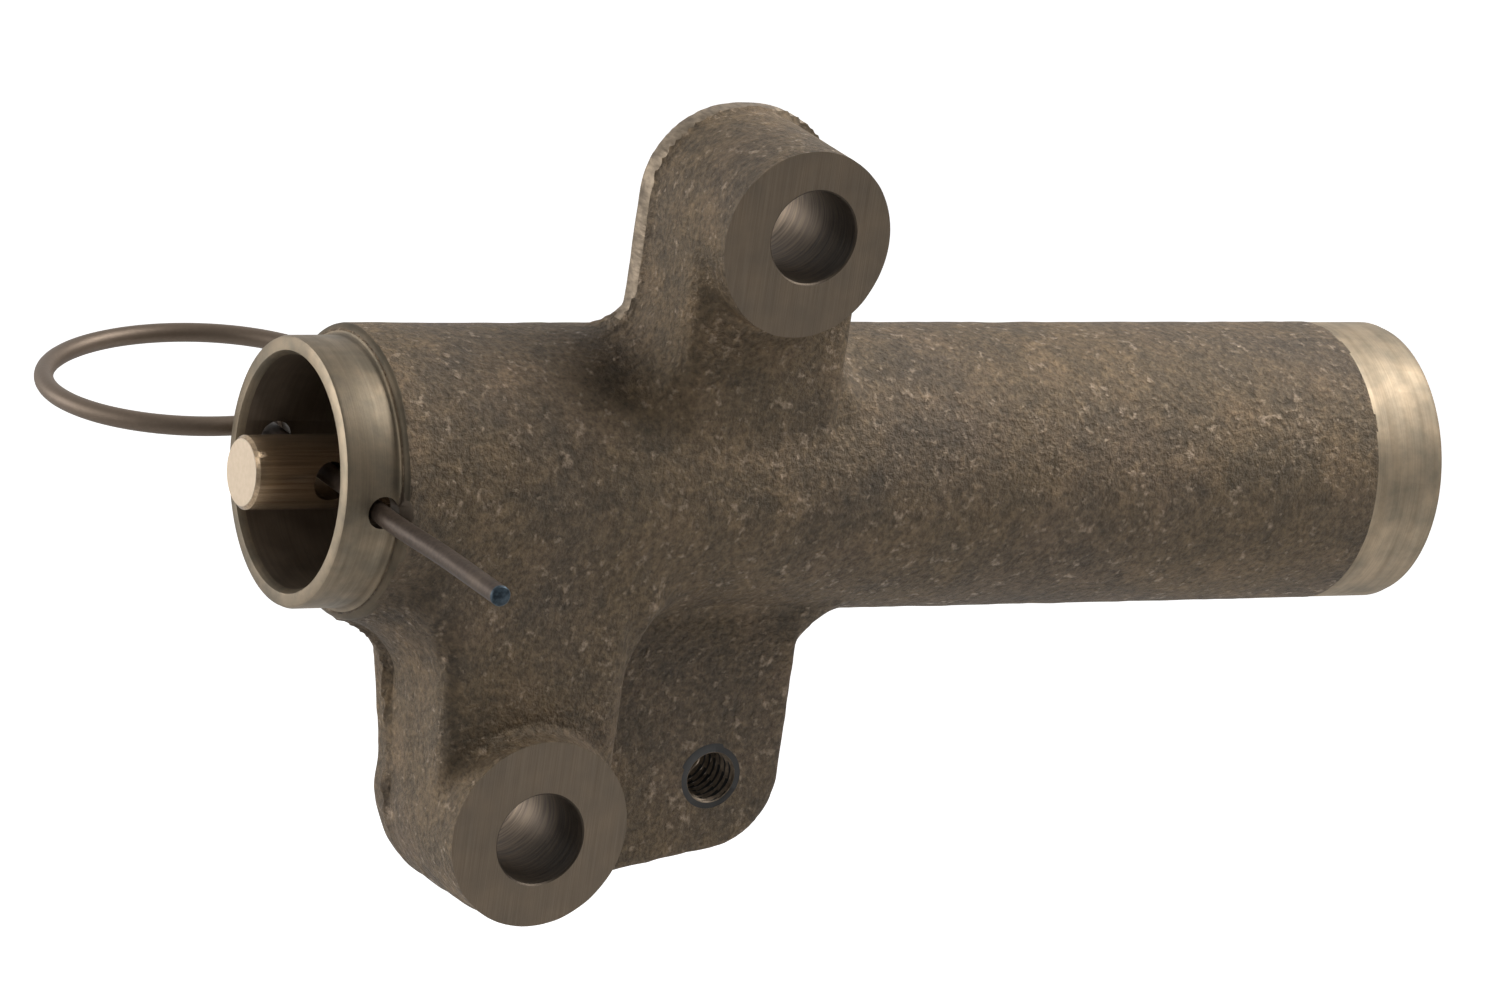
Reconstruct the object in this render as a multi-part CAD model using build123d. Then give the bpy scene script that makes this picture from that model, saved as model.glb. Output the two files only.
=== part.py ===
"""Hydraulic timing belt tensioner, held compressed by its lock pin.

Everything is worked on the cylinder's axis: X along the cylinder from its open mouth to its closed
end, with X = 0 at the upper bolt, Y away from the engine and Z up. The pieces are then moved so that
the origin is the centre of the upper bolt hole on the engine's mounting face. Sizes are in mm.
"""
import os
from math import cos, radians, sin, sqrt

from build123d import *

# Cast cylinder, along X
body_r = 14.0
body_length = 121.8
mouth_to_bolt = 43.5
end_wall = 5.5
turned_end_r = 13.9
turned_end_length = 8.1
turned_end_chamfer = 0.6
mouth_ring_r = 12.8
mouth_ring_length = 4.7
mouth_ring_root_r = 0.4
mouth_chamfer = 0.3

# Bolt bosses and the faces that meet the engine
mounting_depth = 16.0
bolt_hole_r = 4.5
bolt_hole_chamfer = 0.2
upper_bolt_z = 27.5
upper_boss_r = 8.9
upper_boss_shift = (-0.6, -0.5)
lower_bolt = (-20.1, -31.6)
lower_boss_r = 9.3
lower_boss_shift = (-0.15, 0.5)
boss_draft = 1.5

# Upper ear: a thin back slab and a thick pillar under the boss
ear_back = 0.6
parting_depth = 1.8
ear_corner_r = 9.5
ear_corner_spread = 1.1
pillar_depth = 12.5
pillar_edge_r = 2.0
ear_root_r = 4.5

# Lower web: a thick arm to the lower boss and a thinner plate with the cover bolt's thread
arm_depth = 13.0
arm_edge_r = 2.0
arm_corner_r = 9.5
arm_corner_drop = 0.3
arm_lean = 3.7
arm_root_r = 5.0
arm_inner_root_r = 8.0
plate_depth = 7.0
plate_edge_r = 0.8
plate_corner_r = 7.9
plate_root_r = 5.0
plate_cove_r = 2.5
cover_thread = (2.8, -29.4)
cover_thread_r = 2.5
cover_thread_chamfer = 0.7

# Bores of the housing
skirt_bore_r = 11.0
seal_depth = 16.5
guide_bore_r = 10.2
guide_bore_length = 48.0
sleeve_bore_r = 9.0
pin_hole_from_mouth = 4.0
pin_hole_r = 1.55
pin_hole_chamfer = 1.05

# Oil seal and its snap ring
seal_length = 7.0
seal_case_wall = 1.0
seal_case_floor = 1.2
seal_case_hole_r = 6.4
seal_lip_wall = 1.4
garter_from_face = 4.6
garter_ring_r = 5.4
garter_wire_r = 0.6
snap_ring_thickness = 1.0
snap_ring_width = 2.2
snap_ring_play = 0.1
snap_ring_gap = 9.0
snap_groove_depth = 0.9

# Push rod
rod_r = 3.5
rod_length = 64.0
rod_proud = 4.65
rod_tip_chamfer = 0.35
rod_foot_r = 2.4
rod_foot_taper = 1.4
rod_pin_hole_r = 1.9
rod_to_seal = 0.03

# Wear ring and its snap ring on the rod
wear_ring_length = 9.0
wear_ring_from_mouth = 35.0
wear_ring_clearance = 0.05
wear_ring_seat_depth = 2.0
wear_ring_seat_r = 7.4
wear_ring_ports = 4
wear_ring_port_r = 0.8
rod_groove_depth = 0.5
rod_ring_thickness = 1.0
rod_ring_r = 5.2

# Plunger and its check valve
plunger_r = 6.4
plunger_length = 33.0
plunger_socket_r = 3.9
plunger_socket_depth = 5.0
plunger_neck_r = 4.6
plunger_neck_length = 3.5
plunger_passage_r = 1.8
plunger_port_r = 1.0
plunger_port_from_seat = 3.0
valve_pocket_r = 4.4
valve_seat_thickness = 2.6
valve_orifice_r = 1.1
check_ball_r = 1.6
cage_wall = 0.5
cage_cup_r = 3.0
cage_flange_r = 5.6
cage_ports = 3
cage_port_r = 0.6

# Springs
plunger_spring_wire_r = 0.6
plunger_spring_play = 0.2
plunger_spring_turns = 4
return_spring_wire_r = 0.75
return_spring_r = 4.9
return_spring_turns = 8
ball_spring_wire_r = 0.15
ball_spring_r = 1.0
ball_spring_length = 1.6
ball_spring_turns = 3

# Inner sleeve and its seals
sleeve_clearance = 0.02
sleeve_from_floor = 0.8
sleeve_length = 40.0
o_ring_r = 0.8
o_ring_from_mouth = 6.0
o_ring_side_play = 0.2
gasket_inset = 0.6

# Lock pin, a wire bent into a pull ring
wire_r = 0.95
pin_from_mouth = 4.1
pin_tip_depth = 37.1
pull_ring_r = 14.8
pull_ring_centre = 29.9
pull_ring_tilt = -5.8
pull_ring_bend_r = 2.5
pull_ring_gap = 3.0
pin_side_clearance = 0.04

# Places along the axis that follow from the sizes above
mouth_x = -mouth_to_bolt
end_x = mouth_x + body_length
floor_x = end_x - end_wall
seal_x = mouth_x + seal_depth
guide_x = seal_x + seal_length
guide_end_x = guide_x + guide_bore_length
rod_tip_x = mouth_x - rod_proud
rod_foot_x = rod_tip_x + rod_length
pin_x = mouth_x + pin_from_mouth
pin_hole_x = mouth_x + pin_hole_from_mouth
rod_pin_hole_x = pin_x - rod_pin_hole_r + wire_r + pin_side_clearance
wear_ring_x = mouth_x + wear_ring_from_mouth
wear_ring_end_x = wear_ring_x + wear_ring_length
plunger_x = rod_foot_x - plunger_socket_depth
plunger_end_x = plunger_x + plunger_length
valve_pocket_x = plunger_end_x - valve_seat_thickness
sleeve_end_x = floor_x - sleeve_from_floor
sleeve_x = sleeve_end_x - sleeve_length
sleeve_inner_r = plunger_r + sleeve_clearance
garter_x = seal_x + garter_from_face
o_ring_x = sleeve_x + o_ring_from_mouth
ball_x = plunger_end_x + sqrt(check_ball_r**2 - valve_orifice_r**2)
ball_spring_touch = sqrt((check_ball_r + ball_spring_wire_r)**2 - ball_spring_r**2)
ball_spring_x = ball_x + ball_spring_touch - ball_spring_wire_r
cage_x = ball_spring_x + ball_spring_length

# Places of the bosses in the X-Z plane
upper_boss = (upper_boss_shift[0], upper_bolt_z + upper_boss_shift[1])
lower_boss = (lower_bolt[0] + lower_boss_shift[0], lower_bolt[1] + lower_boss_shift[1])
arm_corner = (lower_bolt[0], lower_bolt[1] - arm_corner_drop)
arm_left_x = arm_corner[0] - arm_corner_r
arm_right_x = arm_corner[0] + arm_corner_r
plate_right_x = cover_thread[0] + plate_corner_r


def turned(outline):
    """Solid of revolution about the cylinder's axis from an outline of (x, radius) points."""
    return revolve(make_face(Polyline(*outline, close=True)), axis=Axis.X)


def disc(start_x, end_x, outer_r, inner_r=0.0):
    """Round disc or ring about the cylinder's axis."""
    return turned([(start_x, inner_r), (end_x, inner_r), (end_x, outer_r), (start_x, outer_r)])


def wall(outline, back_y, front_y, draft=0.0):
    """Straight wall with an outline in the X-Z plane, from a back depth forward to a front depth."""
    plane = Plane(origin=(0, back_y, 0), x_dir=(1, 0, 0), z_dir=(0, -1, 0))
    return extrude(plane * outline, amount=back_y - front_y, taper=draft)


def cross_hole(x, radius, z=0.0):
    """Drill along Y, long enough to pass right through the casting."""
    reach = 2 * (mounting_depth + body_r)
    return Pos(x, 0, z) * Rot(90, 0, 0) * Cylinder(radius, reach)


def hole_mouth(x, z, radius, chamfer_size, y, outward):
    """Cone that chamfers a hole along Y at the face y, whose outward side is -1 or +1."""
    cone = Cone(radius, radius + 2 * chamfer_size, 2 * chamfer_size)
    return Pos(x, y, z) * Rot(90 if outward < 0 else -90, 0, 0) * cone


def root_collar(flank_x, side, radius, back_y, front_y, upper):
    """Fillet between a flank at flank_x, facing side, and the cylinder, between two depths."""
    inside_x = flank_x - side * radius / 4
    with BuildSketch(Plane.XY) as profile:
        with BuildLine():
            tangent = (flank_x + side * radius, body_r)
            top = (flank_x, body_r + radius)
            hollow = (flank_x + side * radius * (1 - cos(radians(45))),
                      body_r + radius * (1 - sin(radians(45))))
            ThreePointArc(tangent, hollow, top)
            Polyline(top, (inside_x, body_r + radius), (inside_x, body_r / 2),
                     (tangent[0], body_r / 2), tangent)
        make_face()
    ring = revolve(profile.sketch, axis=Axis.X)
    reach = body_r + radius
    depth = back_y - front_y
    side_z = reach / 2 if upper else -reach / 2
    keep = Pos(flank_x, (back_y + front_y) / 2, side_z) * Box(4 * radius, depth, reach)
    return ring & keep


def plate_cove():
    """Hollow fillet along the line where the plate's front meets the cylinder."""
    reach = body_r + plate_cove_r
    centre_y = -plate_depth - plate_cove_r
    centre_z = -sqrt(reach**2 - centre_y**2)
    foot = (-plate_depth, centre_z)
    touch = (body_r * centre_y / reach, body_r * centre_z / reach)
    hollow_turn = Vector(foot[0] - centre_y, 0) + Vector(touch[0] - centre_y, touch[1] - centre_z)
    hollow = Vector(centre_y, centre_z) + hollow_turn.normalized() * plate_cove_r
    with BuildSketch(Plane.YZ.offset(arm_corner[0])) as profile:
        with BuildLine():
            ThreePointArc(foot, hollow, touch)
            Polyline(touch, (-parting_depth, touch[1]), (-parting_depth, foot[1]), foot)
        make_face()
    return extrude(profile.sketch, amount=plate_right_x - arm_corner[0])


def front_edges(solid, y):
    """Edges of the solid that lie in its front plane at depth y."""
    return solid.edges().filter_by_position(Axis.Y, y - 0.01, y + 0.01)


def boss(centre, radius, front_y, back_y):
    """Drafted round boss whose face is at the front depth."""
    depth = back_y - front_y
    foot_r = radius + depth * sin(radians(boss_draft))
    cone = Cone(foot_r, radius, depth)
    return Pos(centre[0], (front_y + back_y) / 2, centre[1]) * Rot(90, 0, 0) * cone


def casting_body():
    """Cylinder with its turned mouth ring, the cast shoulder and the turned band at the closed end."""
    ring_end_x = mouth_x + mouth_ring_length
    root_x = ring_end_x - mouth_ring_root_r
    shoulder_r = body_r - mouth_ring_r - mouth_ring_root_r
    root_end = (ring_end_x, mouth_ring_r + mouth_ring_root_r)
    shoulder_end = (ring_end_x + shoulder_r, body_r)
    band_x = end_x - turned_end_length
    with BuildSketch(Plane.XY) as profile:
        with BuildLine():
            Polyline((mouth_x, 0), (mouth_x, mouth_ring_r - mouth_chamfer),
                     (mouth_x + mouth_chamfer, mouth_ring_r),
                     (root_x, mouth_ring_r))
            RadiusArc((root_x, mouth_ring_r), root_end, -mouth_ring_root_r)
            RadiusArc(root_end, shoulder_end, shoulder_r)
            Polyline(shoulder_end, (band_x, body_r), (band_x, turned_end_r),
                     (end_x - turned_end_chamfer, turned_end_r),
                     (end_x, turned_end_r - turned_end_chamfer), (end_x, 0), (mouth_x, 0))
        make_face()
    return revolve(profile.sketch, axis=Axis.X)


def upper_ear():
    """Back slab, pillar and boss around the upper bolt, with their roots on the cylinder."""
    spread = (0, ear_corner_spread)
    corners = [Pos(upper_boss[0] + shift, upper_boss[1]) * Circle(ear_corner_r) for shift in spread]
    left_x = upper_boss[0] - ear_corner_r
    right_x = upper_boss[0] + ear_corner_spread + ear_corner_r
    foot = Line((left_x, 0), (right_x, 0))
    slab_outline = make_hull([*corners[0].edges(), *corners[1].edges(), foot])
    slab = wall(slab_outline, ear_back, -parting_depth)
    pillar_r = upper_boss_r + (mounting_depth - pillar_depth) * sin(radians(boss_draft))
    pillar_foot = Line((upper_boss[0] - pillar_r, 0), (upper_boss[0] + pillar_r, 0))
    pillar_top = Pos(*upper_boss) * Circle(pillar_r)
    pillar_outline = make_hull([*pillar_top.edges(), pillar_foot])
    pillar = wall(pillar_outline, -parting_depth, -pillar_depth)
    pillar = fillet(front_edges(pillar, -pillar_depth), pillar_edge_r)
    pillar_left_x = upper_boss[0] - pillar_r
    pillar_right_x = upper_boss[0] + pillar_r
    roots = [
        root_collar(left_x, -1, ear_root_r, ear_back, -parting_depth, True),
        root_collar(right_x, 1, ear_root_r, ear_back, -parting_depth, True),
        root_collar(pillar_left_x, -1, ear_root_r, -parting_depth, -pillar_depth, True),
        root_collar(pillar_right_x, 1, ear_root_r, -parting_depth, -pillar_depth, True),
    ]
    head = boss(upper_boss, upper_boss_r, -mounting_depth, -parting_depth)
    return slab + pillar + head + roots


def lower_web():
    """Thick arm with the lower boss, and the thinner plate that carries the cover bolt's thread."""
    corner = Pos(*arm_corner) * Circle(arm_corner_r)
    plate_corner = Pos(*cover_thread) * Circle(plate_corner_r)
    arm_top = Line((arm_left_x - arm_lean, 0), (arm_right_x, 0))
    plate_top = Line((arm_left_x - arm_lean, 0), (plate_right_x, 0))
    plate_outline = make_hull([*corner.edges(), *plate_corner.edges(), plate_top])
    plate = wall(plate_outline, ear_back, -plate_depth)
    plate = fillet(front_edges(plate, -plate_depth), plate_edge_r)
    arm = wall(make_hull([*corner.edges(), arm_top]), ear_back, -arm_depth, boss_draft)
    arm = fillet(front_edges(arm, -arm_depth), arm_edge_r)
    roots = [
        root_collar(arm_left_x - arm_lean / 2, -1, arm_root_r, ear_back, -arm_depth, False),
        root_collar(arm_right_x, 1, arm_inner_root_r, -plate_depth, -arm_depth, False),
        root_collar(plate_right_x, 1, plate_root_r, ear_back, -plate_depth, False),
    ]
    head = boss(lower_boss, lower_boss_r, -mounting_depth, -plate_depth)
    return plate + arm + head + roots + plate_cove()


def housing_bores():
    """Everything that is bored or turned out along the cylinder's axis."""
    groove_x = seal_x - snap_ring_thickness
    overlap = 1.0
    bore = disc(mouth_x - overlap, guide_x, skirt_bore_r)
    bore += disc(groove_x, seal_x, skirt_bore_r + snap_groove_depth)
    bore += disc(guide_x - overlap, guide_end_x, guide_bore_r)
    bore += disc(guide_end_x - overlap, floor_x, sleeve_bore_r)
    cone_r = skirt_bore_r + overlap + mouth_chamfer
    mouth_cone = turned([(mouth_x - overlap, 0), (mouth_x - overlap, cone_r),
                         (mouth_x + mouth_chamfer, skirt_bore_r), (mouth_x + mouth_chamfer, 0)])
    return bore + mouth_cone


def make_housing():
    """The iron casting, with its bores, bolt holes, thread hole and lock pin hole."""
    body = casting_body() + upper_ear() + lower_web()
    body -= housing_bores()
    body -= cross_hole(pin_hole_x, pin_hole_r)
    for side in (-1, 1):
        body -= hole_mouth(pin_hole_x, 0, pin_hole_r, pin_hole_chamfer, side * body_r, side)
    for x, z in ((0.0, upper_bolt_z), lower_bolt):
        body -= cross_hole(x, bolt_hole_r, z)
        body -= hole_mouth(x, z, bolt_hole_r, bolt_hole_chamfer, -mounting_depth, -1)
        body -= hole_mouth(x, z, bolt_hole_r, bolt_hole_chamfer, ear_back, 1)
    x, z = cover_thread
    body -= cross_hole(x, cover_thread_r, z)
    body -= hole_mouth(x, z, cover_thread_r, cover_thread_chamfer, -plate_depth, -1)
    body -= hole_mouth(x, z, cover_thread_r, cover_thread_chamfer, ear_back, 1)
    return body


def open_ring(start_x, end_x, outer_r, inner_r, gap):
    """Snap ring about the cylinder's axis with a gap at its foot."""
    ring = disc(start_x, end_x, outer_r, inner_r)
    opening = Pos((start_x + end_x) / 2, 0, -outer_r) * Box(2 * (end_x - start_x), gap, 2 * inner_r)
    return ring - opening


def coil(start_x, end_x, mean_r, wire_r, turns):
    """Helical spring about the cylinder's axis, standing between two faces."""
    length = end_x - start_x - 2 * wire_r
    path = Helix(length / turns, length, mean_r)
    section = Plane(origin=path @ 0, z_dir=path % 0) * Circle(wire_r)
    return Pos(start_x + wire_r, 0, 0) * Rot(0, 90, 0) * sweep(section, path=path)


def round_ring(x, ring_r, section_r):
    """Ring of round section about the cylinder's axis."""
    return Pos(x, 0, 0) * Rot(0, 90, 0) * Torus(ring_r, section_r)


def make_seal_snap_ring():
    """Snap ring in its groove, against the open side of the oil seal."""
    outer_r = skirt_bore_r + snap_groove_depth - snap_ring_play
    inner_r = outer_r - snap_ring_width
    return open_ring(seal_x - snap_ring_thickness, seal_x, outer_r, inner_r, snap_ring_gap)


def make_seal_case():
    """Pressed steel case of the oil seal, an L in section."""
    flange_end_x = seal_x + seal_case_floor
    inner_r = skirt_bore_r - seal_case_wall
    return turned([(seal_x, seal_case_hole_r), (flange_end_x, seal_case_hole_r),
                   (flange_end_x, inner_r), (guide_x, inner_r),
                   (guide_x, skirt_bore_r), (seal_x, skirt_bore_r)])


def make_seal_lip():
    """Rubber lips of the oil seal: a dust lip, the sealing lip and the groove for its garter spring."""
    touch_r = rod_r + rod_to_seal
    clear_r = touch_r + seal_lip_wall / 2
    hollow_x = seal_x + seal_case_floor
    neck_x = garter_x - seal_lip_wall
    back_x = garter_x + seal_lip_wall / 2
    lip = turned([(seal_x, seal_case_hole_r), (seal_x, clear_r), (seal_x + seal_lip_wall / 2, touch_r),
                  (hollow_x, clear_r), (neck_x, clear_r), (garter_x, touch_r), (back_x, clear_r),
                  (back_x, garter_ring_r), (neck_x, garter_ring_r), (hollow_x, seal_case_hole_r)])
    return lip - round_ring(garter_x, garter_ring_r, garter_wire_r)


def make_push_rod():
    """Push rod with its cross hole, snap ring groove and tapered foot."""
    groove_x = wear_ring_x - rod_ring_thickness
    groove_r = rod_r - rod_groove_depth
    rod = turned([(rod_tip_x, 0), (rod_tip_x, rod_r - rod_tip_chamfer),
                  (rod_tip_x + rod_tip_chamfer, rod_r), (groove_x, rod_r), (groove_x, groove_r),
                  (wear_ring_x, groove_r), (wear_ring_x, rod_r),
                  (rod_foot_x - rod_foot_taper, rod_r), (rod_foot_x, rod_foot_r), (rod_foot_x, 0)])
    return rod - cross_hole(rod_pin_hole_x, rod_pin_hole_r)


def make_rod_snap_ring():
    """Snap ring in the rod's groove, which the wear ring bears on."""
    inner_r = rod_r - rod_groove_depth
    return open_ring(wear_ring_x - rod_ring_thickness, wear_ring_x, rod_ring_r, inner_r, rod_r)


def make_wear_ring():
    """Guide ring on the rod, with oil ports and a seat for the plunger spring."""
    outer_r = guide_bore_r - wear_ring_clearance
    inner_r = rod_r + wear_ring_clearance
    seat_x = wear_ring_end_x - wear_ring_seat_depth
    ring = turned([(wear_ring_x, inner_r), (seat_x, inner_r), (seat_x, wear_ring_seat_r),
                   (wear_ring_end_x, wear_ring_seat_r), (wear_ring_end_x, outer_r),
                   (wear_ring_x, outer_r)])
    port_pitch_r = (wear_ring_seat_r + outer_r) / 2
    port = Rot(0, 90, 0) * Cylinder(wear_ring_port_r, 2 * wear_ring_length)
    for index in range(wear_ring_ports):
        ring -= Rot(360 * index / wear_ring_ports, 0, 0) * Pos(wear_ring_x, 0, port_pitch_r) * port
    return ring


def make_plunger():
    """Hollow piston: a socket for the rod, a passage with ports and a pocket for the valve seat."""
    neck_end_x = plunger_x + plunger_neck_length
    plunger = turned([(plunger_x, plunger_socket_r), (plunger_x, plunger_neck_r),
                      (neck_end_x, plunger_neck_r), (neck_end_x, plunger_r),
                      (plunger_end_x, plunger_r), (plunger_end_x, valve_pocket_r),
                      (valve_pocket_x, valve_pocket_r), (valve_pocket_x, plunger_passage_r),
                      (rod_foot_x, plunger_passage_r), (rod_foot_x, plunger_socket_r)])
    return plunger - cross_hole(rod_foot_x + plunger_port_from_seat, plunger_port_r)


def make_valve_seat():
    """Disc pressed into the plunger, with the orifice that the ball closes."""
    return disc(valve_pocket_x, plunger_end_x, valve_pocket_r, valve_orifice_r)


def make_check_ball():
    """Ball of the check valve on the edge of its orifice."""
    return Pos(ball_x, 0, 0) * Sphere(check_ball_r)


def make_valve_cage():
    """Pressed cap with a flange on the plunger's end and oil ports round its cup."""
    flange_end_x = plunger_end_x + cage_wall
    cup_inner_r = cage_cup_r - cage_wall
    cage = turned([(plunger_end_x, cup_inner_r), (cage_x, cup_inner_r), (cage_x, cage_port_r),
                   (cage_x + cage_wall, cage_port_r), (cage_x + cage_wall, cage_cup_r),
                   (flange_end_x, cage_cup_r), (flange_end_x, cage_flange_r),
                   (plunger_end_x, cage_flange_r)])
    port = Pos((flange_end_x + cage_x) / 2, 0, cage_cup_r) * Cylinder(cage_port_r, 2 * cage_cup_r)
    for index in range(cage_ports):
        cage -= Rot(360 * index / cage_ports, 0, 0) * port
    return cage


def make_inner_sleeve():
    """Steel cylinder that the plunger slides in, with the groove for its O-ring."""
    outer_r = sleeve_bore_r - sleeve_clearance
    groove_half = o_ring_r + o_ring_side_play
    sleeve = disc(sleeve_x, sleeve_end_x, outer_r, sleeve_inner_r)
    groove_r = sleeve_bore_r - 2 * o_ring_r
    groove = disc(o_ring_x - groove_half, o_ring_x + groove_half, sleeve_bore_r, groove_r)
    return sleeve - groove


def make_lock_pin():
    """Wire pin through the rod, bent at its far end into a pull ring in one plane."""
    bend_start = pull_ring_centre - sqrt((pull_ring_r + pull_ring_bend_r)**2 - pull_ring_bend_r**2)
    share = pull_ring_r / (pull_ring_r + pull_ring_bend_r)
    ring_start = (pull_ring_bend_r * share, pull_ring_centre + (bend_start - pull_ring_centre) * share)
    open_angle = pull_ring_gap / pull_ring_r
    ring_end = (-pull_ring_r * sin(open_angle), pull_ring_centre - pull_ring_r * cos(open_angle))
    far_side = (0, pull_ring_centre + pull_ring_r)
    shank = Line((0, -pin_tip_depth), (0, bend_start))
    bend = RadiusArc((0, bend_start), ring_start, pull_ring_bend_r)
    ring = ThreePointArc(ring_start, far_side, ring_end)
    tip = Plane(origin=(0, -pin_tip_depth, 0), z_dir=(0, 1, 0)) * Circle(wire_r)
    wire = sweep(tip, path=shank + bend + ring)
    return Pos(pin_x, 0, 0) * Rot(0, pull_ring_tilt, 0) * wire


pieces = {
    "housing": make_housing(),
    "push_rod": make_push_rod(),
    "lock_pin": make_lock_pin(),
    "seal_snap_ring": make_seal_snap_ring(),
    "seal_case": make_seal_case(),
    "seal_lip": make_seal_lip(),
    "garter_spring": round_ring(garter_x, garter_ring_r, garter_wire_r),
    "wear_ring": make_wear_ring(),
    "rod_snap_ring": make_rod_snap_ring(),
    "plunger_spring": coil(wear_ring_end_x - wear_ring_seat_depth, plunger_x + plunger_neck_length,
                           plunger_neck_r + plunger_spring_wire_r + plunger_spring_play,
                           plunger_spring_wire_r, plunger_spring_turns),
    "plunger": make_plunger(),
    "valve_seat": make_valve_seat(),
    "check_ball": make_check_ball(),
    "check_ball_spring": coil(ball_spring_x, cage_x, ball_spring_r, ball_spring_wire_r,
                              ball_spring_turns),
    "valve_cage": make_valve_cage(),
    "return_spring": coil(plunger_end_x + cage_wall, floor_x, return_spring_r, return_spring_wire_r,
                          return_spring_turns),
    "inner_sleeve": make_inner_sleeve(),
    "sleeve_gasket": disc(sleeve_end_x, floor_x, sleeve_bore_r - sleeve_clearance,
                          sleeve_inner_r + gasket_inset),
    "sleeve_o_ring": round_ring(o_ring_x, sleeve_bore_r - o_ring_r, o_ring_r - sleeve_clearance),
}

os.makedirs("parts", exist_ok=True)
to_mount = Pos(0, mounting_depth, -upper_bolt_z)
for name, piece in pieces.items():
    export_step(to_mount * piece, f"parts/{name}.step")
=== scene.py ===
"""Timing belt tensioner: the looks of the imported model, its light and its camera.

The housing is meshed from a distance field with the part's own sizes, so that its cast walls run into
each other in round hollows, and its machined faces are then cut out of it. Sizes are in mm on the
cylinder's axis, as in the part's source: X runs from the open mouth to the closed end with 0 at the upper
bolt, Y away from the engine and Z up. They go to metres in the row frame as the last step.
"""
from itertools import product
from math import atan2, cos, exp, pi, radians, sin, sqrt

import bmesh
import bpy
import numpy as np
from mathutils import Matrix, Vector


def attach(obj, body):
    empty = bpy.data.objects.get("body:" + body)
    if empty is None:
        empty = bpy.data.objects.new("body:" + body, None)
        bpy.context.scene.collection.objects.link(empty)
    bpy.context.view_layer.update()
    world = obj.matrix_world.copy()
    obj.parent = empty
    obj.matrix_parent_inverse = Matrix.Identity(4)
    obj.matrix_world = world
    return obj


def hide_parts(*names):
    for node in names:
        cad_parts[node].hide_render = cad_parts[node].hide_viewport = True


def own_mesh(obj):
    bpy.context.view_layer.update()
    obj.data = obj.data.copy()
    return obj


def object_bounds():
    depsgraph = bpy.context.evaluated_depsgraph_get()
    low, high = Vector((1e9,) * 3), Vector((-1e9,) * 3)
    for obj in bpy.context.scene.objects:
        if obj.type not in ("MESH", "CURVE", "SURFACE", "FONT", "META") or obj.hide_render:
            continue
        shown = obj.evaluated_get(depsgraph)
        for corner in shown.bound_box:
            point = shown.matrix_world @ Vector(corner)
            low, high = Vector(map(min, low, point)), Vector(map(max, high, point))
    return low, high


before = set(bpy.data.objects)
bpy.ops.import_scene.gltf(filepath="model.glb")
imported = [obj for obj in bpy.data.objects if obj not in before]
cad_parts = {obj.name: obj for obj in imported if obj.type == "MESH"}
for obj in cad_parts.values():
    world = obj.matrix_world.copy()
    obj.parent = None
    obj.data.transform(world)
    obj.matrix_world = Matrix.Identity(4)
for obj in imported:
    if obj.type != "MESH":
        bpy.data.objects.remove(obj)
cad_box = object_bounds()
scene = bpy.context.scene

MM = 0.001
AXIS_IN_ROW = (0.0, 16.0, -27.5)

# Planes across Y: the milled faces, the back of the casting and the parting of its mould
FACE_Y = -16.0
BACK_Y = 0.6
PARTING_Y = -1.8

# Cylinder, its turned mouth ring and its turned end band
BODY_R = 14.0
MOUTH_X = -43.5
END_X = 78.3
MOUTH_RING_R = 12.8
RING_END_X = -38.0
RING_ROOT_R = 0.4
SHOULDER_R = 0.8
SHOULDER_X = RING_END_X + SHOULDER_R
BAND_X = 70.2
BAND_R = 13.9

# Broken outer edges, as (length, the same at the middle of the rounding)
MOUTH_EDGE = (0.45, 0.13)
BAND_EDGE = (0.9, 0.25)

# Bores along the cylinder, from the mouth inwards
MOUTH_EDGE_R = 11.4
MOUTH_LEAD_X = MOUTH_X + 0.7
MOUTH_BORE_R = 11.0
GROOVE_ENDS = (-28.0, -27.0)
GROOVE_R = 11.9
SEAL_STOP_X = -20.0
CHAMBER_R = 10.2
SLEEVE_STOP_X = 28.0
SLEEVE_BORE_R = 9.0
BORE_END_X = 72.8

# Holes across the cylinder, as (x, z)
UPPER_BOLT = (0.0, 27.5)
LOWER_BOLT = (-20.1, -31.6)
BOLT_HOLE_R = 4.5
BOLT_FRONT_CHAMFER = 0.15
BOLT_BACK_CHAMFER = 0.2
WIDEST_HOLE_R = BOLT_HOLE_R + BOLT_BACK_CHAMFER
THREAD = (2.8, -29.4)
THREAD_FRONT_Y = -6.93
THREAD_BACK_Y = BACK_Y - 0.05
THREAD_PITCH = 1.0
THREAD_MINOR_R = 2.46
THREAD_MAJOR_R = 3.10
THREAD_HOLE_R = 3.2
THREAD_MOUTH_R = 2.62
THREAD_RUN_OUT = 0.7
# Radius beyond which the thread's valleys are painted black as painted shade
THREAD_SHADE_R = THREAD_MINOR_R + 0.3
PIN_HOLE = (-39.5, 0.0)
PIN_HOLE_R = 1.55
PIN_HOLE_CHAMFER = 1.05

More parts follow.
